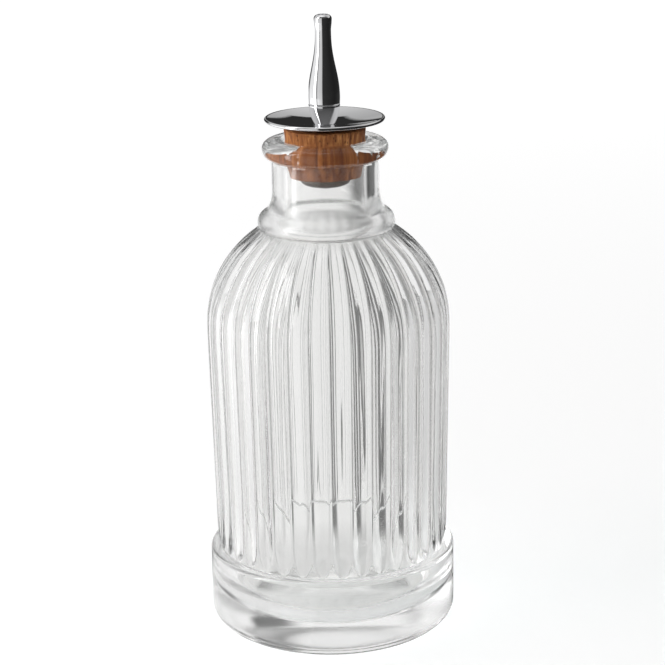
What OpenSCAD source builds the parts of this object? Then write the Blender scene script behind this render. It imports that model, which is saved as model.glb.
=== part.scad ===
// Ribbed glass dasher bottle with a cork and metal spout stopper.
// The bottle stands on z = 0 with its axis on Z. All sizes are in millimetres.

/* [Foot] */
// Diameter of the plain foot ring
foot_d = 62; // [60:0.5:70]
// Height of the foot ring
foot_h = 21; // [18:0.5:30]
// Rounding of the foot's bottom edge
foot_bottom_round = 5.2; // [2:0.2:7]
// Rounding of the foot's top edge
foot_top_round = 1.2; // [1:0.2:4]
// Thickness of the glass under the chamber
floor_t = 6.5; // [4:0.5:10]
// Diameter of the hollow under the base
punt_d = 43; // [30:1:48]
// Depth of the hollow under the base
punt_depth = 1.6; // [0.6:0.2:2.4]

/* [Body] */
// Diameter over the ribs where they leave the foot
body_low_d = 58.5; // [56:0.5:59.5]
// Diameter over the ribs at the shoulder
body_high_d = 60.6; // [57:0.2:64]
// Height of the straight ribbed wall above the foot
straight_h = 60.7; // [40:1:90]
// Height of the full shoulder curve
shoulder_rise = 26.7; // [22:0.5:34]
// Fullness of the shoulder curve, 2 is a plain ellipse
shoulder_fullness = 1.8; // [1.6:0.1:2.2]
// Thickness of the body wall under the grooves
wall_t = 3.3; // [2:0.1:4.5]

/* [Ribs] */
// Number of ribs around the body
rib_count = 36; // [24:1:40]
// Depth of the grooves between the ribs
rib_depth = 0.8; // [0.3:0.1:1.2]
// Height of the rounded lower end of each rib
rib_end_h = 3.5; // [2:0.5:6]

/* [Neck] */
// Outside diameter of the neck
neck_d = 26.4; // [25:0.2:30]
// Height from the neck bead to the top of the lip
neck_h = 20.6; // [17:0.5:30]
// Diameter over the bead at the foot of the neck
bead_d = 33.9; // [32:0.2:37]
// Thickness of the bead
bead_t = 5.6; // [4:0.2:6.4]
// Diameter over the lip
lip_d = 31; // [29.5:0.2:35]
// Height of the rolled lip
lip_h = 4.8; // [3.6:0.2:6]

/* [Cork] */
// Diameter of the cork's top
cork_top_d = 20.2; // [19:0.2:21.4]
// Diameter of the cork's bottom
cork_bottom_d = 17.5; // [16:0.2:18.4]
// Height of the cork
cork_h = 11.6; // [9:0.2:15]
// Height of the cork that stands above the lip
cork_proud = 2.6; // [2:0.2:5]
// Gap between the cork and the mouth where it seats
seat_gap = 0.05; // [0.02:0.01:0.1]

/* [Drip disc] */
// Diameter of the dished disc
disc_d = 29.5; // [25:0.5:34]
// Thickness of the disc
disc_t = 0.9; // [0.6:0.1:1.4]
// Depth of the dish
dish_depth = 1.7; // [0.6:0.1:2.6]
// Diameter of the flat middle of the dish
dish_flat_d = 13; // [9:0.5:18]

/* [Spout] */
// Height of the cup shaped collar under the spout
collar_h = 4.8; // [3.6:0.2:7]
// Diameter of the collar where it stands on the disc
collar_foot_d = 5; // [4.8:0.1:6.4]
// Height of the spout above the collar
spout_h = 21.7; // [16:0.5:32]
// Largest diameter of the spout
spout_d = 7.9; // [7:0.1:10]
// Smallest diameter of the spout, below its tip
spout_waist_d = 4; // [3.6:0.1:4.8]
// Diameter of the rounded tip
spout_tip_d = 4.4; // [4:0.1:5.4]
// Diameter of the spout's outlet
outlet_d = 1.5; // [1:0.1:2]

/* [Feed tube] */
// Outside diameter of the tube through the cork
tube_d = 3.6; // [3:0.1:4]
// Inside diameter of the tube
tube_bore_d = 2.2; // [1.4:0.1:2.4]
// Radial gap where the tube passes through the other pieces
tube_fit = 0.02; // [0.01:0.01:0.04]
// Diameter of the domed nut under the cork
nut_d = 12.2; // [9:0.2:13]
// Height of the domed nut
nut_h = 2.6; // [2:0.2:4]

/* [Hidden] */
$fn = 96;

foot_r = foot_d / 2;
body_low_r = min(body_low_d / 2, foot_r - 1);
body_high_r = body_high_d / 2;
shoulder_z = foot_h + straight_h;
power = 2 / shoulder_fullness;

// The mouth follows the cork: its wall is the cork's own cone plus the seat gap.
lip_drop = 1.6;
seat_h = 2;
cork_slope = (cork_top_d - cork_bottom_d) / 2 / cork_h;
mouth_r = cork_top_d / 2 - cork_slope * (cork_proud + lip_drop) + seat_gap;
bore_r = mouth_r - cork_slope * seat_h;

neck_r = max(neck_d / 2, mouth_r + 2.2);
bead_round = bead_t / 2;
bead_r = max(bead_d / 2, neck_r + bead_round * 0.9);
bead_centre_r = bead_r - bead_round;
bead_z = shoulder_z + shoulder_rise * shoulder_height(bead_centre_r / body_high_r);
bottle_h = bead_z + neck_h;
lip_r = max(lip_d / 2, neck_r + 1.2);

// Chamber inside the body
inner_low_r = body_low_r - rib_depth - wall_t;
inner_high_r = body_high_r - rib_depth - wall_t;
inner_round = 7;
inner_top_z = bead_z - 0.4;
inner_rise = (inner_top_z - shoulder_z) / shoulder_height(bore_r / inner_high_r);

// Heights of the stopper's pieces
cork_top_z = bottle_h + cork_proud;
cork_bottom_z = cork_top_z - cork_h;
disc_top_z = cork_top_z + disc_t;
seam_z = disc_top_z + collar_h;
spout_top_z = seam_z + spout_h;
nut_bottom_z = cork_bottom_z - nut_h;
tube_r = tube_d / 2;
tube_hole_r = tube_r + tube_fit;
tube_bottom_z = nut_bottom_z - 0.4;
tube_top_z = seam_z + 3;

// Columns of points across one rib, and rows of points up the shoulder
rib_columns = 6;
shoulder_rows = 15;
end_rows = 4;

// Height of the shoulder curve, from 0 to 1, where its radius is the share s of the largest
function shoulder_height(s) = pow(sin(acos(pow(s, 1 / power))), power);

// Radius of the shoulder curve, from 1 to 0, at the share h of its height
function shoulder_radius(h) = pow(cos(asin(pow(h, 1 / power))), power);

// Points on an elliptical arc about c, from angle a0 to a1
function arc(c, rx, ry, a0, a1, n = 10) =
    [for (i = [0:n]) let (a = a0 + (a1 - a0) * i / n) [c[0] + rx * cos(a), c[1] + ry * sin(a)]];

// Rows of the ribbed skin as [radius over the ribs, height, groove depth]
bead_turn = acos(pow(bead_centre_r / body_high_r, 1 / power));
function skin_rows() = concat(
    [[body_low_r - rib_depth, foot_h - foot_top_round - 1, 0]],
    [for (i = [0:end_rows])
        let (s = 1 - cos(90 * i / end_rows), rise = sqrt(1 - pow(1 - s, 2)))
        [body_low_r - rib_depth * (1 - rise), foot_h - 0.6 + rib_end_h * s, rib_depth * rise]],
    [for (i = [0:shoulder_rows])
        let (u = bead_turn * i / shoulder_rows, r = body_high_r * pow(cos(u), power))
        [r, shoulder_z + shoulder_rise * pow(sin(u), power), rib_depth * r / body_high_r]]);

// Depth of the surface below the rib's crest, from 1 in the groove to 0 on the crest
function groove(t) = pow(abs(2 * t - 1), 2.6);

module ribbed_skin() {
    rows = skin_rows();
    count = rib_count * rib_columns;
    points = [for (row = rows) for (j = [0:count - 1])
        let (a = 360 * j / count, r = row[0] - row[2] * groove((j % rib_columns) / rib_columns))
        [r * cos(a), r * sin(a), row[1]]];
    sides = [for (i = [0:len(rows) - 2]) for (j = [0:count - 1])
        let (k = (j + 1) % count)
        [i * count + j, (i + 1) * count + j, (i + 1) * count + k, i * count + k]];
    bottom = [for (j = [0:count - 1]) j];
    top = [for (j = [count - 1:-1:0]) (len(rows) - 1) * count + j];
    polyhedron(points, concat(sides, [bottom, top]), convexity = 8);
}

module foot() {
    rotate_extrude() polygon(concat(
        [[0, 0]],
        arc([foot_r - foot_bottom_round, foot_bottom_round], foot_bottom_round, foot_bottom_round, -90, 0),
        arc([foot_r - foot_top_round, foot_h - foot_top_round], foot_top_round, foot_top_round, 0, 90),
        [[0, foot_h]]));
}

// Neck tube, bead and rolled lip in one turned outline
module neck() {
    crest_r = (mouth_r + lip_drop + neck_r) / 2;
    lip_z = bottle_h - lip_h * 0.48;
    rotate_extrude() polygon(concat(
        [[0, bead_z - 6], [bead_centre_r - 1, bead_z - bead_round * 0.9]],
        arc([bead_centre_r, bead_z], bead_round, bead_round, -90, 75, 16),
        [[neck_r + 0.35, bead_z + bead_round + 0.9], [neck_r, bead_z + bead_round + 2.6]],
        arc([neck_r, lip_z], lip_r - neck_r, lip_h * 0.52, -90, 0, 8),
        arc([crest_r, lip_z], lip_r - crest_r, lip_h * 0.48, 6, 90, 10),
        [[0, bottle_h]]));
}

module cavity() {
    rotate_extrude() polygon(concat(
        [[0, floor_t]],
        arc([inner_low_r - inner_round, floor_t + inner_round], inner_round, inner_round, -90, 0),
        [for (i = [0:20])
            let (z = shoulder_z + (inner_top_z - shoulder_z) * sin(90 * i / 20))
            [inner_high_r * shoulder_radius((z - shoulder_z) / inner_rise), z]],
        [[bore_r, bead_z + 1], [bore_r, bottle_h - lip_drop - seat_h], [mouth_r, bottle_h - lip_drop]],
        arc([mouth_r + lip_drop, bottle_h - lip_drop], lip_drop, lip_drop, 172, 90, 6),
        [[mouth_r + lip_drop, bottle_h + 2], [0, bottle_h + 2]]));
}

module punt() {
    ball_r = (pow(punt_d / 2, 2) + pow(punt_depth, 2)) / (2 * punt_depth);
    translate([0, 0, punt_depth - ball_r]) sphere(ball_r);
}

module bottle() {
    color([0.87, 0.91, 0.91, 0.45])
    difference() {
        union() {
            foot();
            ribbed_skin();
            neck();
        }
        cavity();
        punt();
    }
}

module cork() {
    edge = 0.4;
    color("peru")
    rotate_extrude() polygon([
        [tube_hole_r, cork_bottom_z],
        [cork_bottom_d / 2 - edge, cork_bottom_z],
        [cork_bottom_d / 2 + cork_slope * edge, cork_bottom_z + edge],
        [cork_top_d / 2 - cork_slope * edge, cork_top_z - edge],
        [cork_top_d / 2 - edge, cork_top_z],
        [tube_hole_r, cork_top_z]]);
}

// Rise of the dish above its flat middle at radius r
function dish(r) = let (flat_r = dish_flat_d / 2, edge_r = disc_d / 2 - disc_t / 2)
    r < flat_r ? 0 : dish_depth * pow((r - flat_r) / (edge_r - flat_r), 1.6);

module drip_disc() {
    steps = 14;
    flat_r = dish_flat_d / 2;
    edge_r = disc_d / 2 - disc_t / 2;
    curve = [for (i = [0:steps]) flat_r + (edge_r - flat_r) * i / steps];
    color("silver")
    rotate_extrude() polygon(concat(
        [[tube_hole_r, cork_top_z]],
        [for (r = curve) [r, cork_top_z + dish(r)]],
        arc([edge_r, cork_top_z + dish_depth + disc_t / 2], disc_t / 2, disc_t / 2, -75, 75, 8),
        [for (i = [steps:-1:0]) [curve[i], disc_top_z + dish(curve[i])]],
        [[tube_hole_r, disc_top_z]]));
}

module spout_collar() {
    steps = 12;
    low_r = collar_foot_d / 2;
    high_r = spout_d / 2 - 0.08;
    bevel = 0.18;
    color("silver")
    rotate_extrude() polygon(concat(
        [[tube_hole_r, disc_top_z]],
        [for (i = [0:steps])
            let (t = i / steps)
            [low_r + (high_r - low_r) * sin(90 * t), disc_top_z + (collar_h - bevel) * t]],
        [[high_r - bevel, seam_z], [tube_hole_r, seam_z]]));
}

module dash_spout() {
    steps = 22;
    bevel = 0.18;
    belly_h = 1.9;
    tip_round = 1.1;
    belly_r = spout_d / 2;
    waist_r = spout_waist_d / 2;
    tip_r = max(spout_tip_d / 2, waist_r);
    belly_z = seam_z + belly_h;
    waist_z = spout_top_z - 3.8;
    tip_z = spout_top_z - tip_round;
    outlet_r = outlet_d / 2;
    mouth_flare = 0.45;
    color("silver")
    rotate_extrude() polygon(concat(
        [[tube_hole_r, seam_z], [belly_r - 0.08 - bevel, seam_z], [belly_r - 0.08, seam_z + bevel]],
        [for (i = [0:steps])
            let (t = i / steps, s = pow((1 + cos(180 * t)) / 2, 1.35))
            [waist_r + (belly_r - waist_r) * s, belly_z + (waist_z - belly_z) * t]],
        [for (i = [1:5])
            let (t = i / 5)
            [waist_r + (tip_r - waist_r) * (1 - cos(180 * t)) / 2, waist_z + (tip_z - 0.5 - waist_z) * t]],
        arc([tip_r - tip_round, tip_z], tip_round, tip_round, 10, 90, 8),
        [[outlet_r + mouth_flare, spout_top_z], [outlet_r, spout_top_z - mouth_flare],
         [outlet_r, tube_top_z + 0.3 + tube_hole_r - outlet_r], [tube_hole_r, tube_top_z + 0.3]]));
}

module feed_tube() {
    color("gray")
    difference() {
        translate([0, 0, tube_bottom_z]) cylinder(r = tube_r, h = tube_top_z - tube_bottom_z);
        translate([0, 0, tube_bottom_z - 1]) cylinder(d = tube_bore_d, h = tube_top_z - tube_bottom_z + 2);
    }
}

module retaining_nut() {
    rim = 0.5;
    dome_r = nut_d / 2 - rim;
    color("dimgray")
    rotate_extrude() polygon(concat(
        [[tube_hole_r, nut_bottom_z], [tube_hole_r + 0.4, nut_bottom_z]],
        arc([tube_hole_r + 0.4, cork_bottom_z - rim * 2], nut_d / 2 - tube_hole_r - 0.4, nut_h - rim * 2, -80, 0, 12),
        arc([dome_r, cork_bottom_z - rim], rim, rim, 0, 90, 6),
        [[tube_hole_r, cork_bottom_z]]));
}

bottle();
cork();
drip_disc();
spout_collar();
dash_spout();
feed_tube();
retaining_nut();
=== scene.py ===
"""Looks of the ribbed bitters bottle: clear pressed glass, cork and polished metal pourer."""
import math

import bpy
import numpy as np
from mathutils import Matrix, Vector


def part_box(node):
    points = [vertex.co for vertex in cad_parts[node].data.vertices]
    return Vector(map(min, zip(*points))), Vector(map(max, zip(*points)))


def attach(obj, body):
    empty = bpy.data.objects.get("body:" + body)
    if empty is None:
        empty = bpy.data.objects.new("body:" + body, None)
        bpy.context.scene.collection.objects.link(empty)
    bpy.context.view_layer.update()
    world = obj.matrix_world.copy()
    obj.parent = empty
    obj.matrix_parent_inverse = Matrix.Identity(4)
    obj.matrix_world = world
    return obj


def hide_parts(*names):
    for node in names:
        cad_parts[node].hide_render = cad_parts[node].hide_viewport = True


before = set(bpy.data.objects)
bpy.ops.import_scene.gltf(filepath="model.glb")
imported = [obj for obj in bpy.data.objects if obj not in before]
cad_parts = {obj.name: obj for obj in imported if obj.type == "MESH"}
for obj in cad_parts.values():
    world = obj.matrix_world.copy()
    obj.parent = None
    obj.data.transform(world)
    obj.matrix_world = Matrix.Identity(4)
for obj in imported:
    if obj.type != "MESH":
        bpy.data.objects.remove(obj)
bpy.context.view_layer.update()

MM = 0.001


# Sizes in millimetres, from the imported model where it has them

def node_box(node):
    low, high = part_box(node)
    return [v / MM for v in low], [v / MM for v in high]


bottle_low, bottle_high = node_box("bottle")
cork_low, cork_high = node_box("cork")
disc_low, disc_high = node_box("drip_disc")
collar_low, collar_high = node_box("spout_collar")
spout_low, spout_high = node_box("dash_spout")
tube_low, tube_high = node_box("feed_tube")
nut_low, nut_high = node_box("retaining_nut")

FOOT_R = min(bottle_high[0], -bottle_low[0])
BOTTLE_H = bottle_high[2]
CORK_R = cork_high[0]
DISC_R = disc_high[0]
SPOUT_R = spout_high[0]
TUBE_R = tube_high[0]
NUT_R = nut_high[0]
# The pieces on the tube leave it a little room
HOLE_R = TUBE_R + 0.02

# Glass outline, bottom to top
PUNT_R = 21.5
PUNT_DEPTH = 1.6
FOOT_BOTTOM_ROUND = 5.2
HEEL_WIDTH = 7.2
FOOT_TOP_ROUND = 1.2
FOOT_H = 21.0
FLOOR_T = 6.5
BODY_LOW_R = 29.25
BODY_HIGH_R = 30.3
SHOULDER_Z = FOOT_H + 60.7
SHOULDER_RISE = 26.7
SHOULDER_POWER = 2 / 1.8
SHOULDER_SHARE = 0.985
WALL_T = 3.3
NECK_R = 13.2
NECK_FLARE = 1.3
NECK_FLARE_H = 5.0
BEAD_ROUND = 2.8
BEAD_CENTRE_R = 14.15
LIP_R = 15.5
LIP_H = 4.8
LIP_DROP = 1.6
SEAT_H = 2.0
MOUTH_R = 9.66
BORE_R = 9.43
BORE_FLARE_H = 9.0
BORE_FLARE_SHARE = 0.84
INNER_ROUND = 10.0

# Shares of the lip's height below and above its widest ring
LIP_BELOW = 0.52
LIP_ABOVE = 0.48

# Ribs: they rise from a small fillet on the foot's ledge, and towards the top of the shoulder curve
# they narrow and then sink over these shares of it
RIB_COUNT = 36
RIB_DEPTH = 0.8
RIB_FLATNESS = 2.8
RIB_END = 8.0
RIB_FILLET = 0.3
RIB_NARROWS = 0.34
RIB_SINKS = 0.2

# Waves of the inner wall in pressed glass, as the number round the bottle and the height of each. They
# fade out below the shoulder and above the foot, and are strongest at one angle. The wall also follows
# the ribs a little.
WALL_WAVES = ((19, 0.035), (31, 0.03), (43, 0.026), (58, 0.018), (77, 0.011), (95, 0.008))
WAVE_FADE_H = 12.0
WAVE_SIDE = -40
INNER_RIB_DEPTH = 0.06

# Stopper: the cork's taper, its bulge at the seat and its pits, the disc's sheet, and the spout's seam
CORK_SLOPE = 0.1164
CORK_SQUEEZE = 0.16
CORK_PITS = 150
DISC_T = 0.9
SEAM_STEP = 0.08
SEAM_BEVEL = 0.18

COLUMNS_PER_RIB = 14
COLUMNS = RIB_COUNT * COLUMNS_PER_RIB


def arc(cx, cz, rx, rz, start, end, count):
    """Points on an elliptical arc from start to end degrees, both ends included."""
    angles = np.radians(np.linspace(start, end, count))
    return [(cx + rx * math.cos(a), cz + rz * math.sin(a)) for a in angles]


def line(start, end, count):
    """Points from start towards end, without the end."""
    steps = np.linspace(0, 1, count, endpoint=False)
    return [(start[0] + (end[0] - start[0]) * t, start[1] + (end[1] - start[1]) * t) for t in steps]


def shoulder_turn(share):
    """Angle up the shoulder curve at which its radius is the share of the largest."""
    return math.acos(share ** (1 / SHOULDER_POWER))


def shoulder_point(turn, radius, rise):
    """Radius and height above the shoulder's foot at an angle up its curve."""
    return radius * math.cos(turn) ** SHOULDER_POWER, rise * max(math.sin(turn), 0) ** SHOULDER_POWER


BEAD_TURN = shoulder_turn(BEAD_CENTRE_R / BODY_HIGH_R)
BEAD_Z = SHOULDER_Z + shoulder_point(BEAD_TURN, BODY_HIGH_R, SHOULDER_RISE)[1]


# Mesh helpers

def mesh_object(name, verts, faces):
    mesh = bpy.data.meshes.new(name)
    mesh.from_pydata([tuple(v) for v in verts], [], faces)
    mesh.polygons.foreach_set("use_smooth", [True] * len(mesh.polygons))
    mesh.update()
    obj = bpy.data.objects.new(name, mesh)
    bpy.context.collection.objects.link(obj)
    return obj


def ring_mesh(name, rings, closed):
    """A mesh from rings of points in millimetres. A closed one joins its last ring to its first,
    and an open one ends in a point at the middle of its first and last rings."""
    rows, columns = rings.shape[:2]
    verts = list(rings.reshape(-1, 3) * MM)
    faces = []
    for i in range(rows if closed else rows - 1):
        a, b = i * columns, ((i + 1) % rows) * columns
        for j in range(columns):
            k = (j + 1) % columns
            faces.append((a + j, a + k, b + k, b + j))
    if not closed:
        for ring, turn in ((0, 1), (rows - 1, -1)):
            middle = len(verts)
            verts.append(np.array([0, 0, rings[ring, 0, 2]]) * MM)
            for j in range(columns):
                faces.append((middle, ring * columns + (j + 1) % columns, ring * columns + j)[::turn])
    return mesh_object(name, verts, faces)


def turned(profile, columns):
    """Rings of points from a profile of (radius, height) pairs."""
    angles = np.linspace(0, 2 * math.pi, columns, endpoint=False)
    r, z = np.array(profile).T
    flat = np.ones(columns)
    return np.stack([np.outer(r, np.cos(angles)), np.outer(r, np.sin(angles)), np.outer(z, flat)], -1)


def turned_mesh(name, profile, columns=128):
    return ring_mesh(name, turned(profile, columns), closed=True)


# The glass: one closed surface, up the outside and down the inside

def rib_height(across, end):
    """Height of a rib from 0 to 1, across it from -1 to 1, where end runs from 0 at its tip to 1."""
    width = np.sqrt(np.clip(1 - (1 - end) ** 2, 0, 1))
    share = np.abs(across) / np.maximum(width, 1e-6)
    return np.where(share < 1, np.maximum(1 - share ** RIB_FLATNESS, 0) * width, 0)


def smooth_shoulder(rows, reach=5.0, zone=8.0):
    """The rows with their radius averaged over the neighbours that the reach takes in, fully within
    the zone above and below the shoulder's foot and not at all past twice that."""
    r, z = np.array([(row[0], row[1]) for row in rows]).T
    order = np.argsort(z)
    offsets = np.linspace(-2.5, 2.5, 41)
    weights = np.exp(-offsets ** 2)
    smoothed = []
    for row in rows:
        near = np.clip(2 - abs(row[1] - SHOULDER_Z) / zone, 0, 1)
        neighbours = np.interp(row[1] + offsets * reach, z[order], r[order])
        average = np.sum(neighbours * weights) / np.sum(weights)
        smoothed.append((row[0] + (average - row[0]) * near, *row[1:]))
    return smoothed


def foot_rows():
    """Points of the outside from the middle of the base to the ribs' lower ends."""
    groove_r = BODY_LOW_R - RIB_DEPTH
    top = FOOT_TOP_ROUND
    points = [(r, PUNT_DEPTH * (1 - (r / PUNT_R) ** 2) ** 2) for r in np.linspace(2, PUNT_R, 24)]
    points += arc(FOOT_R - HEEL_WIDTH, FOOT_BOTTOM_ROUND, HEEL_WIDTH, FOOT_BOTTOM_ROUND, -88, 0, 26)
    points += line((FOOT_R, FOOT_BOTTOM_ROUND + 1), (FOOT_R, FOOT_H - top), 8)
    points += arc(FOOT_R - top, FOOT_H - top, top, top, 0, 82, 16)
    points += arc(groove_r + RIB_FILLET, FOOT_H + RIB_FILLET, RIB_FILLET, RIB_FILLET, 255, 180, 5)
    return [(r, z, 0.0, 0.0) for r, z in points]


def body_rows():
    """Rows of the ribbed wall and of the shoulder up to the bead."""
    start_z = FOOT_H + RIB_FILLET + 0.05
    rows = [(BODY_LOW_R, start_z + RIB_END * share, RIB_DEPTH, share)
            for share in np.linspace(0, 1, 22)[1:]]
    wall_z = SHOULDER_Z - start_z - RIB_END
    for share in np.linspace(0, 1, 40)[1:]:
        r = BODY_LOW_R + (BODY_HIGH_R - BODY_LOW_R) * share
        rows.append((r, start_z + RIB_END + wall_z * share, RIB_DEPTH, 1.0))
    for share in np.linspace(0, 1, 90)[1:]:
        r, rise = shoulder_point(BEAD_TURN * SHOULDER_SHARE * share, BODY_HIGH_R, SHOULDER_RISE)
        end = min(1.0, (1 - share) / RIB_NARROWS)
        fade = min(1.0, (1 - share) / RIB_SINKS)
        depth = RIB_DEPTH * (r / BODY_HIGH_R) * fade * fade * (3 - 2 * fade)
        rows.append((r, SHOULDER_Z + rise, depth, end))
        if r < BEAD_CENTRE_R + BEAD_ROUND * 0.8:
            break
    return rows


def neck_rows():
    """Points of the outside from the bead to the crest of the lip."""
    neck_z = BEAD_Z + BEAD_ROUND
    lip_z = BOTTLE_H - LIP_H * LIP_ABOVE
    under_z = lip_z - LIP_H * LIP_BELOW
    crest_r = (MOUTH_R + LIP_DROP + NECK_R) / 2
    points = arc(BEAD_CENTRE_R, BEAD_Z, BEAD_ROUND, BEAD_ROUND, -60, 72, 24)
    points += [(NECK_R + NECK_FLARE * (1 - t) ** 2, neck_z + 0.2 + NECK_FLARE_H * t)
               for t in np.linspace(0, 1, 9)]
    points += line((NECK_R, neck_z + NECK_FLARE_H + 1), (NECK_R, under_z - 0.8), 5)
    points += [(NECK_R, under_z - 0.4)]
    points += arc(NECK_R, lip_z, LIP_R - NECK_R, LIP_H * LIP_BELOW, -86, 0, 14)
    points += arc(crest_r, lip_z, LIP_R - crest_r, LIP_H * LIP_ABOVE, 5, 90, 16)
    return [(r, z, 0.0, 0.0) for r, z in points]


def outer_rows():
    """Rows of the outside as (radius over the ribs, height, rib depth, share of the rib's end)."""
    rows = foot_rows() + body_rows()
    wall_from = FOOT_H + RIB_END
    low, high = [row for row in rows if row[1] < wall_from], [row for row in rows if row[1] >= wall_from]
    return low + smooth_shoulder(high) + neck_rows()


def inner_profile():
    """The inside as (radius, height) pairs from the mouth down to the floor."""
    low_r = BODY_LOW_R - RIB_DEPTH - WALL_T
    high_r = BODY_HIGH_R - RIB_DEPTH - WALL_T
    mouth_z = BOTTLE_H - LIP_DROP
    top_z = BEAD_Z - 0.4
    turn = shoulder_turn(BORE_R / high_r)
    rise = (top_z - SHOULDER_Z) / max(math.sin(turn), 0) ** SHOULDER_POWER
    points = arc(MOUTH_R + LIP_DROP, mouth_z, LIP_DROP, LIP_DROP, 100, 180, 10)
    points += [(BORE_R, mouth_z - SEAT_H)]
    points += line((BORE_R, mouth_z - SEAT_H - 1), (BORE_R, BEAD_Z + BORE_FLARE_H), 6)
    blend_turn = turn * BORE_FLARE_SHARE
    blend = shoulder_point(blend_turn, high_r, rise)
    start, end = np.array((BORE_R, BEAD_Z + BORE_FLARE_H)), np.array((blend[0], SHOULDER_Z + blend[1]))
    corner = np.array((BORE_R, top_z - 1))
    points += [tuple((1 - t) ** 2 * start + 2 * t * (1 - t) * corner + t * t * end)
               for t in np.linspace(0, 1, 40, endpoint=False)]
    wall = [(r, SHOULDER_Z + up) for r, up in
            (shoulder_point(t, high_r, rise) for t in np.linspace(blend_turn, 0, 60))]
    wall += line((high_r - 0.05, SHOULDER_Z - 1), (low_r, FLOOR_T + INNER_ROUND + 0.5), 50)
    points += smooth_shoulder(wall)
    points += arc(low_r - INNER_ROUND, FLOOR_T + INNER_ROUND, INNER_ROUND, INNER_ROUND, 0, -90, 20)
    points += line((low_r - INNER_ROUND - 1, FLOOR_T), (1.5, FLOOR_T), 8)
    return points


def wall_waves(angles, z):
    """Slight waves of the inner wall that pressed glass has: upright streaks that wander with height
    and are stronger on one side."""
    rng = np.random.default_rng(11)
    above_foot = np.clip((z - FOOT_H - 2) / WAVE_FADE_H, 0, 1)
    body = above_foot * np.clip((BEAD_Z - 6 - z) / WAVE_FADE_H, 0, 1)
    waves = np.zeros((len(z), len(angles)))
    for turns, height in WALL_WAVES:
        drift = rng.uniform(-0.03, 0.03) * z + 0.5 * np.sin(z / rng.uniform(9, 23) + rng.uniform(0, 6.3))
        waves += height * np.sin(turns * angles[None, :] + drift + rng.uniform(0, 6.3))
    side = 0.55 + 0.45 * np.cos(angles[None, :] - math.radians(WAVE_SIDE))
    inner_ribs = INNER_RIB_DEPTH * body * np.cos(RIB_COUNT * angles[None, :])
    return -np.abs(waves) * body * side - inner_ribs


def make_bottle():
    angles = np.linspace(0, 2 * math.pi, COLUMNS, endpoint=False)
    across = (np.arange(COLUMNS) % COLUMNS_PER_RIB) / COLUMNS_PER_RIB * 2 - 1
    rings = []
    for r, z, depth, end in outer_rows():
        radius = r - depth * (1 - rib_height(across, end))
        rings.append(np.stack([radius * np.cos(angles), radius * np.sin(angles), np.full(COLUMNS, z)], -1))
    inside = turned(inner_profile(), COLUMNS)
    inside[..., :2] *= 1 + wall_waves(angles, inside[:, :1, 2])[..., None] / BODY_LOW_R
    return ring_mesh("bottle_glass", np.concatenate([np.array(rings), inside]), closed=False)


bottle = make_bottle()


# The stopper's pieces

def make_cork():
    """The tapered bung with a pitted, slightly uneven side."""
    low_z, high_z = cork_low[2], cork_high[2]
    low_r = CORK_R - CORK_SLOPE * (high_z - low_z)
    edge = 0.35
    side_z = np.linspace(low_z + edge, high_z - edge, 60)
    seat_z = BOTTLE_H - LIP_DROP - SEAT_H / 2
    side = [(low_r + CORK_SLOPE * (z - low_z) + CORK_SQUEEZE * math.exp(-((z - seat_z) / SEAT_H) ** 4), z)
            for z in side_z]
    bevel = edge * 0.3
    profile = [(HOLE_R, low_z), (low_r * 0.5, low_z), (low_r - edge, low_z), (low_r - bevel, low_z + bevel)]
    profile += side + [(CORK_R - bevel, high_z - bevel), (CORK_R - edge, high_z), (HOLE_R, high_z)]
    rings = turned(profile, 320)
    rng = np.random.default_rng(7)
    pits = np.zeros(rings.shape[:2])
    rows, columns = pits.shape
    for _ in range(CORK_PITS):
        row, column = rng.integers(4, rows - 4), rng.integers(0, columns)
        length, width, depth = rng.uniform(0.8, 3.2), rng.uniform(0.8, 2.2), rng.uniform(0.06, 0.22)
        i = np.arange(rows)[:, None] - row
        j = (np.arange(columns)[None, :] - column + columns // 2) % columns - columns // 2
        pits = np.maximum(pits, depth * np.exp(-(i / length) ** 2 - (j / width) ** 2))
    pits[:3] = 0
    pits[-2:] = 0
    radius = np.hypot(rings[..., 0], rings[..., 1])
    rings[..., :2] *= ((radius - pits) / radius)[..., None]
    return ring_mesh("cork_bung", rings, closed=True)


def make_disc():
    """A smooth shallow bowl with a rounded rim and a flat middle underneath, where the cork is."""
    lift = 0.06
    depth = disc_high[2] - disc_low[2] - DISC_T
    edge_r = DISC_R - DISC_T / 2
    low_z = disc_low[2]
    curve = [(r, depth * (r / edge_r) ** 2) for r in np.linspace(HOLE_R, edge_r, 40)]
    under = [(r, low_z + max(up - lift, 0) * depth / (depth - lift)) for r, up in curve]
    over = [(r, low_z + DISC_T + up) for r, up in curve[::-1]]
    rim = arc(edge_r, low_z + depth + DISC_T / 2, DISC_T / 2, DISC_T / 2, -74, 74, 14)
    return turned_mesh("drip_disc_polished", under + rim + over, 192)


def make_collar():
    """The cup under the spout, with a bevelled upper edge at the seam."""
    low_z, high_z = collar_low[2], collar_high[2]
    low_r, high_r, bevel = 2.5, SPOUT_R - SEAM_STEP, SEAM_BEVEL
    side = [(low_r + (high_r - low_r) * math.sin(math.pi / 2 * t), low_z + (high_z - low_z - bevel) * t)
            for t in np.linspace(0, 1, 28)]
    top = arc(high_r - bevel, high_z - bevel, bevel, bevel, 20, 90, 5)
    return turned_mesh("spout_collar_polished", [(HOLE_R, low_z)] + side + top + [(HOLE_R, high_z)])


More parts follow.
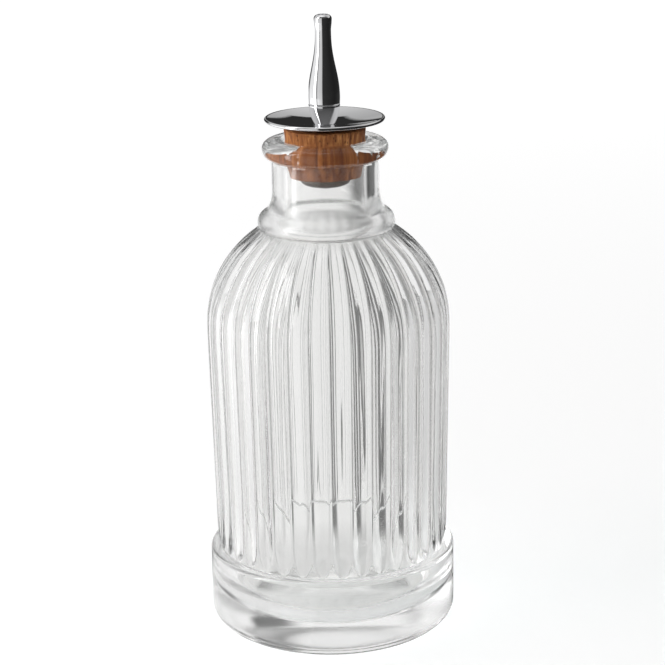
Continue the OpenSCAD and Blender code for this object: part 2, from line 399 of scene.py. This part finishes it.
def make_spout():
    """The slim spout: a short belly over the seam, a long draw to the waist and a rounded tip."""
    low_z, high_z = spout_low[2], spout_high[2]
    belly_h, waist_drop, tip_round, bevel = 1.9, 3.8, 1.1, SEAM_BEVEL
    waist_r, tip_r, outlet_r, flare, draw = 2.0, 2.2, 0.75, 0.45, 1.35
    base_r = SPOUT_R - SEAM_STEP
    belly_z, waist_z, tip_z = low_z + belly_h, high_z - waist_drop, high_z - tip_round
    passage_z = tube_high[2] + 0.3
    profile = [(HOLE_R, low_z)] + arc(base_r - bevel, low_z + bevel, bevel, bevel, -90, -10, 5)
    profile += [(base_r + SEAM_STEP * math.sin(math.pi / 2 * t), low_z + bevel + (belly_h - bevel) * t)
                for t in np.linspace(0.1, 0.9, 5)]
    for t in np.linspace(0, 1, 40):
        share = ((1 + math.cos(math.pi * t)) / 2) ** draw
        profile.append((waist_r + (SPOUT_R - waist_r) * share, belly_z + (waist_z - belly_z) * t))
    for t in np.linspace(0.1, 1, 10):
        profile.append((waist_r + (tip_r - waist_r) * (1 - math.cos(math.pi * t)) / 2,
                        waist_z + (tip_z - 0.5 - waist_z) * t))
    profile += arc(tip_r - tip_round, tip_z, tip_round, tip_round, 6, 90, 14)
    profile += [(outlet_r + flare, high_z), (outlet_r + 0.1, high_z - flare + 0.05)]
    profile += [(outlet_r, high_z - flare - 0.1), (outlet_r, passage_z + HOLE_R - outlet_r)]
    profile += [(HOLE_R, passage_z)]
    return turned_mesh("dash_spout_polished", profile)


def make_tube():
    """The straight feed tube with a bevelled lower end."""
    bore, bevel = 1.1, 0.15
    low_z, high_z = tube_low[2], tube_high[2]
    profile = [(bore, low_z + bevel), (bore + bevel, low_z)]
    profile += [(TUBE_R - bevel, low_z), (TUBE_R, low_z + bevel)]
    profile += line((TUBE_R, low_z + 1), (TUBE_R, high_z), 6) + [(TUBE_R, high_z), (bore, high_z)]
    return turned_mesh("feed_tube_steel", profile, 64)


def make_nut():
    """The domed nut with a rounded rim against the cork."""
    low_z, high_z = nut_low[2], nut_high[2]
    rim, dome_r = 0.5, HOLE_R + 0.4
    profile = [(HOLE_R, low_z)]
    profile += arc(dome_r, high_z - rim * 2, NUT_R - dome_r, high_z - low_z - rim * 2, -86, 0, 20)
    profile += arc(NUT_R - rim, high_z - rim, rim, rim, 8, 90, 8) + [(HOLE_R, high_z)]
    return turned_mesh("retaining_nut_steel", profile, 96)


# Materials

class Nodes:
    """A short way to build a node tree."""

    def __init__(self, tree):
        self.tree = tree

    def add(self, kind, inputs=None, **settings):
        node = self.tree.nodes.new(kind)
        for key, value in settings.items():
            setattr(node, key, value)
        for key, value in (inputs or {}).items():
            self.put(node.inputs[key], value)
        return node

    def put(self, socket, value):
        if isinstance(value, bpy.types.NodeSocket):
            self.tree.links.new(value, socket)
        else:
            socket.default_value = value

    def place(self, scale=(1, 1, 1)):
        """Object coordinates in metres, scaled along each axis."""
        coords = self.add("ShaderNodeTexCoord")
        return self.add("ShaderNodeMapping", {"Vector": coords.outputs["Object"], "Scale": scale}).outputs[0]

    def height(self):
        return self.add("ShaderNodeSeparateXYZ", {0: self.place()}).outputs["Z"]

    def noise(self, vector, scale, detail=4.0, roughness=0.55):
        values = {"Vector": vector, "Scale": scale, "Detail": detail, "Roughness": roughness}
        return self.add("ShaderNodeTexNoise", values).outputs["Fac"]

    def range(self, value, start, end, low=0.0, high=1.0):
        """The value's span from start to end, spread over low to high."""
        values = {"Value": value, "From Min": start, "From Max": end, "To Min": low, "To Max": high}
        return self.add("ShaderNodeMapRange", values).outputs["Result"]

    def ramp(self, value, *stops):
        """Grey level or colour by a value from 0 to 1."""
        node = self.add("ShaderNodeValToRGB", {"Fac": value})
        elements = node.color_ramp.elements
        while len(elements) < len(stops):
            elements.new(0.5)
        for element, (position, colour) in zip(elements, stops):
            element.position = position
            element.color = (*colour, 1) if isinstance(colour, tuple) else grey(colour)
        return node.outputs["Color"]

    def around(self, place, stops):
        """Grey level by the azimuth of a place or direction, from stops of (degrees, level)."""
        split = self.add("ShaderNodeSeparateXYZ", {0: place}).outputs
        turn = self.maths("ARCTAN2", split["X"], split["Y"])
        shares = [((degrees + 180) / 360, level) for degrees, level in stops]
        return self.ramp(self.range(turn, -math.pi, math.pi), *shares)

    def maths(self, operation, first, second=0.0):
        return self.add("ShaderNodeMath", {0: first, 1: second}, operation=operation).outputs[0]

    def blend(self, share, first, second, mode="MIX"):
        """Colour from first to second as the share goes from 0 to 1."""
        values = {0: share, 6: first, 7: second}
        return self.add("ShaderNodeMix", values, data_type="RGBA", blend_type=mode).outputs[2]

    def bump(self, height, distance, strength=1.0, under=None):
        values = {"Height": height, "Distance": distance, "Strength": strength}
        if under:
            values["Normal"] = under
        return self.add("ShaderNodeBump", values).outputs["Normal"]


class Material(Nodes):
    """A material with one main shader."""

    def __init__(self, name):
        self.material = bpy.data.materials.new(name)
        self.material.use_nodes = True
        super().__init__(self.material.node_tree)
        self.shader = self.tree.nodes["Principled BSDF"]

    def set(self, **values):
        for key, value in values.items():
            self.put(self.shader.inputs[key.replace("_", " ")], value)

    def clear_by(self, share, colour=(1, 1, 1, 1)):
        """Replace the shader with a clear one of the colour, by the share."""
        clear = self.add("ShaderNodeBsdfTransparent", {"Color": colour}).outputs[0]
        mix = self.add("ShaderNodeMixShader", {0: share, 1: self.shader.outputs[0], 2: clear})
        self.put(self.tree.nodes["Material Output"].inputs["Surface"], mix.outputs[0])


def grey(level):
    return level, level, level, 1


# Roughness added up the glass, by the share of its height: the underside is matt from standing, and
# bead and lip are softer from the forming tools
GLASS_WEAR = ((0.0, 0.16), (0.028, 0.0), (0.79, 0.0), (0.815, 0.17), (0.87, 0.17), (0.895, 0.0),
              (0.95, 0.0), (0.965, 0.05))
GLASS_TINT = (0.925, 0.925, 0.92, 1)
GLASS_SHADOW = (0.9, 0.92, 0.92, 1)

METAL_TINT = (0.86, 0.86, 0.87, 1)
STEEL_TONES = ((0.3, (0.055, 0.042, 0.033)), (0.7, (0.12, 0.098, 0.08)))

# Cork from its darkest to its palest grain, then its broad shade, its pores and its tint in the mouth
CORK_TONES = ((0.32, (0.085, 0.026, 0.008)), (0.46, (0.31, 0.11, 0.032)), (0.58, (0.56, 0.24, 0.08)),
              (0.72, (0.74, 0.38, 0.16)))
CORK_SHADE = (0.22, 0.07, 0.02, 1)
CORK_PORES = ((0.10, 0.25), (0.24, 1.0))
CORK_MOUTH_TINT = ((0.0, (0.62, 0.53, 0.45)), (1.0, (1.0, 1.0, 1.0)))
MOUTH_TINT_EDGE_MM = 2.5


def glass_material():
    n = Material("clear_pressed_glass")
    waves = n.noise(n.place((1, 1, 0.35)), 90.0, detail=2.0, roughness=0.4)
    streaks = n.bump(n.noise(n.place((1, 1, 0.03)), 1900.0, detail=2.0), 0.00003, 0.07)
    smudges = n.range(n.noise(n.place(), 160.0, detail=3.0), 0.45, 0.75, 0.03, 0.05)
    wear = n.ramp(n.range(n.height(), 0, BOTTLE_H * MM), *GLASS_WEAR)
    n.set(Base_Color=GLASS_TINT, IOR=1.5, Transmission_Weight=1.0, Roughness=n.maths("ADD", smudges, wear),
          Normal=n.bump(waves, 0.00008, 0.3, streaks))
    # Light passes through to the cork and floor without the noise of focused rays
    n.clear_by(n.add("ShaderNodeLightPath").outputs["Is Shadow Ray"], GLASS_SHADOW)
    return n.material


def polished_material():
    n = Material("polished_plating")
    haze = n.noise(n.place(), 420.0, detail=3.0)
    lines = n.noise(n.place((1, 1, 9)), 700.0, detail=2.0)
    n.set(Base_Color=METAL_TINT, Metallic=1.0, Roughness=n.range(haze, 0.35, 0.75, 0.015, 0.04),
          Normal=n.bump(lines, 0.00001, 0.25))
    return n.material


def steel_material():
    n = Material("dull_steel")
    lines = n.noise(n.place((1, 1, 14)), 900.0, detail=3.0)
    tone = n.ramp(n.noise(n.place(), 260.0), *STEEL_TONES)
    n.set(Base_Color=tone, Metallic=1.0, Roughness=n.range(lines, 0.3, 0.7, 0.28, 0.45),
          Normal=n.bump(lines, 0.00003, 0.3))
    return n.material


def cork_material():
    """Upright grain with dark pores, darker where the cork sits in the mouth."""
    n = Material("natural_cork")
    grain = n.noise(n.place((1, 1, 0.16)), 900.0, detail=5.0, roughness=0.62)
    broad = n.noise(n.place((1, 1, 0.5)), 170.0, detail=3.0)
    cells = {"Vector": n.place((1, 1, 0.55)), "Scale": 950.0}
    pores = n.ramp(n.add("ShaderNodeTexVoronoi", cells, feature="F1").outputs["Distance"], *CORK_PORES)
    colour = n.blend(n.range(broad, 0.38, 0.62, 0.0, 0.7), n.ramp(grain, *CORK_TONES), CORK_SHADE)
    colour = n.blend(0.85, colour, pores, "MULTIPLY")
    # The cork is darker and warmer below the top of the lip, fading out over its top 2.5 mm
    above_mouth = n.range(n.height(), (BOTTLE_H - MOUTH_TINT_EDGE_MM) * MM, BOTTLE_H * MM)
    colour = n.blend(1.0, colour, n.ramp(above_mouth, *CORK_MOUTH_TINT), "MULTIPLY")
    n.set(Base_Color=colour, Roughness=n.range(grain, 0.3, 0.7, 0.62, 0.88), Specular_IOR_Level=0.3,
          Normal=n.bump(grain, 0.00025, 0.7))
    return n.material


def dress(obj, material, body, node):
    obj.data.materials.append(material)
    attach(obj, body)
    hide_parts(node)


polished = polished_material()
steel = steel_material()
dress(bottle, glass_material(), "bottle", "bottle")
dress(make_cork(), cork_material(), "stopper", "cork")
dress(make_disc(), polished, "stopper", "drip_disc")
dress(make_collar(), polished, "stopper", "spout_collar")
dress(make_spout(), polished, "stopper", "dash_spout")
dress(make_tube(), steel, "stopper", "feed_tube")
dress(make_nut(), steel, "stopper", "retaining_nut")


# Studio: pale floor and white surround, with darker bands round the set that only glass and metal
# see. Azimuths are in degrees: 0 behind the bottle, 90 to its right, 180 in front. Distances on the
# floor are in metres from the bottle's axis.

FLOOR_HALF = 3.0
FLOOR_DROP = -0.0002
FLOOR_COLOUR = 0.7

# Level of the world's light on the object, and the glow that keeps the floor white, from its near
# distance to its far one
DIFFUSE_LEVEL = 0.45
FLOOR_GLOW = (0.42, 0.72)
GLOW_SPAN = (0.1, 1.0)

# What clear glass shows from each azimuth: soft grey bands between white
GLASS_AROUND = ((-180, 0.95), (-160, 0.97), (-152, 0.82), (-144, 0.97), (-120, 1.0), (-112, 0.82),
                (-104, 1.0), (-76, 1.0), (-68, 0.85), (-60, 0.9), (-54, 1.0), (-37, 1.0), (-30, 0.68),
                (-24, 0.84), (-19, 1.0), (8, 0.97), (14, 0.2), (27, 0.12), (31, 0.97), (40, 0.97),
                (45, 0.82), (50, 0.97), (58, 0.97), (62, 0.76), (68, 0.76), (73, 1.0), (104, 1.0),
                (112, 0.8), (120, 0.97), (152, 0.8), (160, 0.95), (180, 0.95))
# The same for the far floor, which shows through the neck
GLASS_FAR = ((-180, 0.95), (-120, 0.97), (-112, 0.7), (-104, 0.97), (-66, 0.92), (-45, 0.7), (-30, 0.9),
             (-10, 0.97), (6, 0.95), (16, 0.14), (50, 0.1), (60, 0.75), (104, 0.97), (112, 0.6),
             (120, 0.97), (152, 0.7), (160, 0.95), (180, 0.95))
GLASS_FAR_SPAN = (0.30, 0.38)
# Close round the foot it is an even grey: a painted shadow of the bottle, as the floor's glow takes no
# shadow
NEAR_PAINTED_SHADOW = 0.76
GLASS_NEAR_SPAN = (0.03, 0.07)

# What polished metal reflects from the near floor, and from the far floor and the horizon
METAL_FLOOR = ((-180, 0.03), (-169, 0.03), (-165, 0.6), (-132, 0.7), (-128, 0.25), (-124, 0.25),
               (-119, 0.9), (-58, 0.95), (-50, 0.4), (-42, 0.45), (-34, 0.95), (20, 1.0), (32, 0.06),
               (60, 0.03), (100, 0.015), (180, 0.03))
METAL_HORIZON = ((-180, 0.03), (-169, 0.03), (-165, 0.6), (-132, 0.7), (-128, 0.25), (-124, 0.25),
                 (-119, 0.9), (-58, 0.9), (-40, 0.03), (60, 0.02), (100, 0.015), (180, 0.03))
METAL_FAR_SPAN = (1.0, 1.5)

# A narrow upright strip light on the left, by azimuth and by the sine of the elevation. On the floor
# it comes in over a span and is stronger.
STRIP_LIGHT = ((-180, 0.0), (-116, 0.0), (-112, 1.0), (-106, 1.0), (-102, 0.0), (180, 0.0))
STRIP_HEIGHT = ((0.0, 1.0), (0.7, 1.0), (0.9, 0.0))
STRIP_LEVEL = 6.0
STRIP_FLOOR_SPAN = (0.15, 0.3)
STRIP_FLOOR_SHARE = 1.6

# What metal reflects from above, by the sine of the elevation, and how far that replaces the horizon
ABOVE_BACK = ((0.0, 0.5), (0.26, 0.42), (0.42, 0.5), (0.6, 0.68), (0.8, 0.5), (1.0, 0.3))
ABOVE_FRONT = ((0.0, 0.03), (0.5, 0.06), (0.9, 0.15), (1.0, 0.3))
BACK_SHARE = ((0.0, 0.0), (0.375, 0.0), (0.39, 1.0), (1.0, 1.0))
FRONT_SHARE = ((0.0, 0.0), (0.45, 0.0), (0.7, 1.0), (1.0, 1.0))
BACK_SPAN = (-0.2, 0.0)
# Beside the dark flag behind the bottle that light comes down to the horizon. The flag's edges and
# the outer limit of the light are spans of the direction's X, and of its size.
BESIDE_SHARE = ((0.0, 0.0), (0.03, 0.0), (0.06, 1.0), (1.0, 1.0))
FLAG_RIGHT = (0.055, 0.065)
FLAG_LEFT = (-0.034, -0.046)
BESIDE_WIDTH = (0.16, 0.22)


def with_strip(n, level, place, share):
    """The level with the strip light added."""
    strip = n.maths("MULTIPLY", n.around(place, STRIP_LIGHT), share)
    return n.maths("ADD", level, n.maths("MULTIPLY", strip, STRIP_LEVEL))


def floor_material():
    """A white floor that takes a soft shadow and is clear from below. Glass and metal see it with
    the darker bands."""
    n = Material("pale_floor")
    place = n.place()
    path = n.add("ShaderNodeLightPath").outputs
    distance = n.add("ShaderNodeVectorMath", {0: place}, operation="LENGTH").outputs["Value"]
    far, near = n.range(distance, *GLASS_FAR_SPAN), n.range(distance, *GLASS_NEAR_SPAN)
    glass = n.blend(far, n.around(place, GLASS_AROUND), n.around(place, GLASS_FAR))
    # Painted shadow of the bottle on the floor close round the foot, as the glass sees it
    glass = n.blend(near, grey(NEAR_PAINTED_SHADOW), glass)
    far = n.range(distance, *METAL_FAR_SPAN)
    metal = n.blend(far, n.around(place, METAL_FLOOR), n.around(place, METAL_HORIZON))
    metal = with_strip(n, metal, place, n.range(distance, *STRIP_FLOOR_SPAN, 0, STRIP_FLOOR_SHARE))
    level = n.blend(path["Is Glossy Ray"], grey(1.0), metal)
    level = n.blend(path["Is Transmission Ray"], level, glass)
    seen = n.maths("SUBTRACT", 1.0, path["Is Diffuse Ray"])
    glow = n.maths("MULTIPLY", seen, n.range(distance, *GLOW_SPAN, *FLOOR_GLOW))
    n.set(Base_Color=n.blend(level, grey(0.0), grey(FLOOR_COLOUR)), Roughness=0.9, Specular_IOR_Level=0.0,
          Emission_Color=level, Emission_Strength=glow)
    n.clear_by(n.add("ShaderNodeNewGeometry").outputs["Backfacing"])
    return n.material


def make_floor():
    corners = ((-1, -1), (1, -1), (1, 1), (-1, 1))
    floor = mesh_object("floor", [(x * FLOOR_HALF, y * FLOOR_HALF, FLOOR_DROP) for x, y in corners],
                        [(0, 1, 2, 3)])
    floor.data.materials.append(floor_material())


def add_lamp(name, place, target, size, power):
    """A soft panel light, with places and size in metres and power in watts."""
    lamp = bpy.data.lights.new(name, "AREA")
    lamp.shape = "RECTANGLE"
    lamp.size, lamp.size_y = size
    lamp.energy = power
    obj = bpy.data.objects.new(name, lamp)
    bpy.context.collection.objects.link(obj)
    obj.location = place
    obj.rotation_euler = (Vector(target) - Vector(place)).to_track_quat("-Z", "Y").to_euler()
    return obj


def build_world():
    """White for the camera, a plain level for lighting, and the bands for glass and metal."""
    world = bpy.data.worlds.new("studio")
    world.use_nodes = True
    n = Nodes(world.node_tree)
    direction = n.add("ShaderNodeTexCoord").outputs["Generated"]
    path = n.add("ShaderNodeLightPath").outputs
    split = n.add("ShaderNodeSeparateXYZ", {0: direction}).outputs
    height = split["Z"]
    back = n.range(split["Y"], *BACK_SPAN)
    above = n.blend(back, n.ramp(height, *ABOVE_FRONT), n.ramp(height, *ABOVE_BACK))
    beside = n.maths("ADD", n.range(split["X"], *FLAG_RIGHT), n.range(split["X"], *FLAG_LEFT))
    beside = n.maths("MULTIPLY", beside, n.ramp(height, *BESIDE_SHARE))
    sideways = n.maths("ABSOLUTE", split["X"])
    beside = n.maths("MULTIPLY", beside, n.range(sideways, *BESIDE_WIDTH, 1, 0))
    open_back = n.maths("MAXIMUM", beside, n.ramp(height, *BACK_SHARE))
    share = n.blend(back, n.ramp(height, *FRONT_SHARE), open_back)
    metal = n.blend(share, n.around(direction, METAL_HORIZON), above)
    metal = with_strip(n, metal, direction, n.ramp(height, *STRIP_HEIGHT))
    level = n.blend(path["Is Camera Ray"], grey(DIFFUSE_LEVEL), grey(1.0))
    level = n.blend(path["Is Glossy Ray"], level, metal)
    level = n.blend(path["Is Transmission Ray"], level, n.around(direction, GLASS_AROUND))
    n.put(n.tree.nodes["Background"].inputs["Color"], level)
    bpy.context.scene.world = world


make_floor()
key = add_lamp("soft_left", place=(-0.60, -0.17, 0.34), target=(0, 0, 0.09), size=(0.5, 0.6), power=3.8)
key.visible_glossy = False
add_lamp("soft_top", place=(-0.1, 0.1, 0.9), target=(0, 0, 0.05), size=(0.6, 0.6), power=0.8)
build_world()


# Camera at the photograph's angle: a 665 pixel wide picture

PHOTO_PX = 665
FOCAL_PX = 2169
SENSOR_MM = 36.0
CAMERA_PITCH = 16.15
CAMERA_ROLL = -1.03
CAMERA_PLACE = (0.0010, -0.520, 0.2262)

camera = bpy.data.objects.new("camera", bpy.data.cameras.new("camera"))
bpy.context.collection.objects.link(camera)
camera.data.sensor_width = SENSOR_MM
camera.data.lens = SENSOR_MM * FOCAL_PX / PHOTO_PX
camera.data.clip_start, camera.data.clip_end = 0.01, 20
pitch = Matrix.Rotation(math.radians(90 - CAMERA_PITCH), 4, "X")
roll = Matrix.Rotation(math.radians(CAMERA_ROLL), 4, "Z")
camera.matrix_world = Matrix.Translation(CAMERA_PLACE) @ pitch @ roll
bpy.context.scene.camera = camera
bpy.context.scene.view_settings.view_transform = "Standard"
# Thick glass reflects light inside itself many times before it comes out
bpy.context.scene.cycles.glossy_bounces = 12
